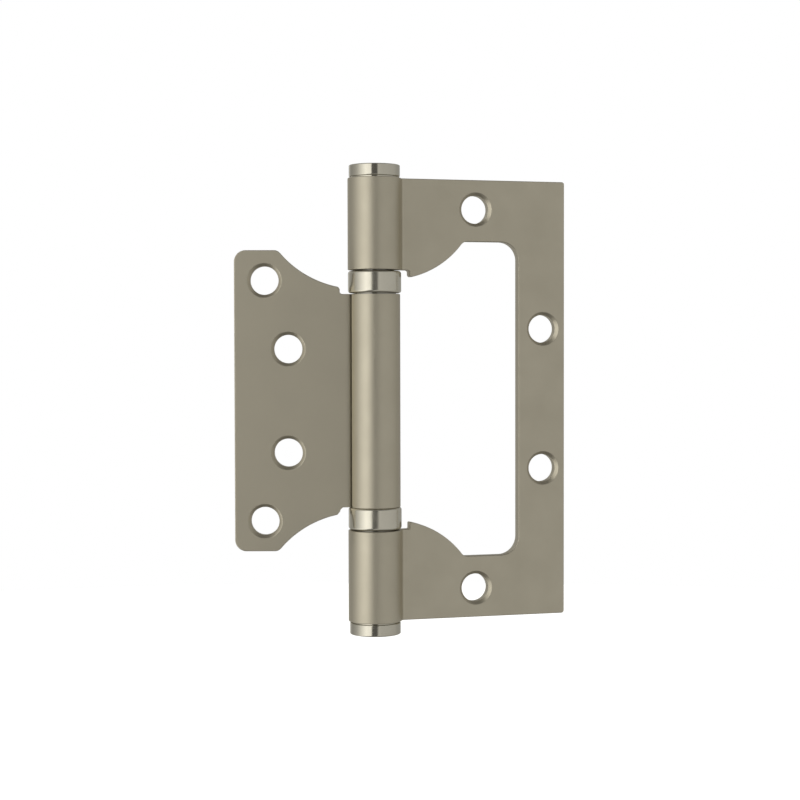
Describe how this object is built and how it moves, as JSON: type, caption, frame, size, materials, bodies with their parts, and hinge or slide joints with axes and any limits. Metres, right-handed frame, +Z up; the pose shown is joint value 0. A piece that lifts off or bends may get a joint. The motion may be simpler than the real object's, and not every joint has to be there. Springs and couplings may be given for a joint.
{
  "type": "surface mount hinge",
  "caption": "Flush surface mount hinge whose tongue leaf nests in the window of a frame leaf, with ball bearings between rolled knuckles.",
  "frame": {"origin": "on the pin's axis, halfway up the outer leaf", "axes": "+Z up along the pin; +X from the pin along the outer leaf; +Y out of the outer leaf's mounting face"},
  "size_m": [0.0759, 0.0157, 0.1058],
  "materials": {
    "satin_nickel": "satin nickel plate on steel sheet",
    "polished_nickel": "polished nickel plate",
    "ground_steel": "ground steel, lightly greased",
    "cage_brass": "plain stamped brass"
  },
  "bodies": {
    "outer": {"outer_leaf": "satin_nickel", "hinge_pin": "ground_steel", "top_cap": "polished_nickel", "bottom_cap": "polished_nickel", "upper_bearing_shell": "polished_nickel", "upper_bearing_top_race": "ground_steel", "lower_bearing_bottom_race": "ground_steel"},
    "inner": {"inner_leaf": "satin_nickel", "upper_bearing_bottom_race": "ground_steel", "lower_bearing_shell": "polished_nickel", "lower_bearing_top_race": "ground_steel"},
    "upper_ball_ring": {"upper_bearing_cage": "cage_brass", "upper_bearing_balls": "ground_steel"},
    "lower_ball_ring": {"lower_bearing_cage": "cage_brass", "lower_bearing_balls": "ground_steel"}
  },
  "joints": [
    {"name": "leaf_swing", "type": "hinge", "parent": "outer", "child": "inner", "pos_m": [0, 0, 0], "axis": [0, 0, 1], "range_deg": [-74.4, 195.6]},
    {"name": "upper_balls_roll", "type": "hinge", "parent": "outer", "child": "upper_ball_ring", "pos_m": [0, 0, 0.02652], "axis": [0, 0, 1], "range_deg": [-37.2, 97.8]},
    {"name": "lower_balls_roll", "type": "hinge", "parent": "outer", "child": "lower_ball_ring", "pos_m": [0, 0, -0.02675], "axis": [0, 0, 1], "range_deg": [-37.2, 97.8]}
  ],
  "couplings": [
    {"joint": "upper_balls_roll", "follows": "leaf_swing", "ratio": 0.5},
    {"joint": "lower_balls_roll", "follows": "leaf_swing", "ratio": 0.5}
  ]
}
